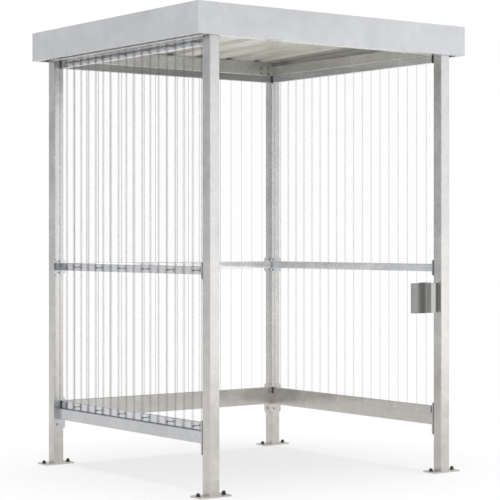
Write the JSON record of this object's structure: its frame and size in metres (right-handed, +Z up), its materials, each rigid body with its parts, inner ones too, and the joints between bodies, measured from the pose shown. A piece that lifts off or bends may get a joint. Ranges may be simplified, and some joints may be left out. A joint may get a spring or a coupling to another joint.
{
  "type": "smoking shelter",
  "caption": "Open-fronted outdoor smoking shelter: square steel posts on base plates, clear ribbed sheet walls on three sides, a flat ribbed steel roof behind a folded fascia, and an ashtray.",
  "frame": {"origin": "on the ground, below the centre of the roof's outline", "axes": "+Z up, the open front faces -Y, the left wall is at -X seen from the front"},
  "size_m": [1.72, 1.606, 2.362],
  "materials": {
    "galvanised_steel": "hot-dip galvanised, softly mottled",
    "galvanised_fascia": "galvanised sheet, softly mottled",
    "cream_roof_coat": "satin coil coat",
    "clear_sheet": "clear, glossy",
    "black_plastic": "moulded, matt",
    "stainless_steel": "brushed stainless"
  },
  "bodies": {
    "root": {"ashtray_base": "stainless_steel", "ashtray_body": "stainless_steel", "ashtray_bracket": "stainless_steel", "ashtray_plate": "stainless_steel", "back_bottom_rail": "galvanised_steel", "back_fascia": "galvanised_fascia", "back_fascia_packer": "galvanised_steel", "back_mid_rail": "galvanised_steel", "back_rail_caps": "galvanised_steel", "back_roof_beam": "galvanised_steel", "back_sill": "galvanised_steel", "back_top_rail": "galvanised_steel", "back_wall_sheet": "clear_sheet", "base_plate_back_left": "galvanised_steel", "base_plate_back_right": "galvanised_steel", "base_plate_front_left": "galvanised_steel", "base_plate_front_right": "galvanised_steel", "fascia_arm_back_left": "galvanised_steel", "fascia_arm_back_right": "galvanised_steel", "fascia_arm_front_left": "galvanised_steel", "fascia_arm_front_right": "galvanised_steel", "front_fascia": "galvanised_fascia", "front_fascia_packer": "galvanised_steel", "front_roof_beam": "galvanised_steel", "left_bottom_rail": "galvanised_steel", "left_fascia": "galvanised_fascia", "left_mid_rail": "galvanised_steel", "left_rail_caps": "black_plastic", "left_roof_beam": "galvanised_steel", "left_sill": "galvanised_steel", "left_top_rail": "galvanised_steel", "left_wall_sheet": "clear_sheet", "post_back_left": "galvanised_steel", "post_back_right": "galvanised_steel", "post_front_left": "galvanised_steel", "post_front_right": "galvanised_steel", "right_bottom_rail": "galvanised_steel", "right_fascia": "galvanised_fascia", "right_mid_rail": "galvanised_steel", "right_rail_caps": "black_plastic", "right_roof_beam": "galvanised_steel", "right_sill": "galvanised_steel", "right_top_rail": "galvanised_steel", "right_wall_sheet": "clear_sheet", "roof_sheet": "cream_roof_coat"}
  },
  "joints": []
}
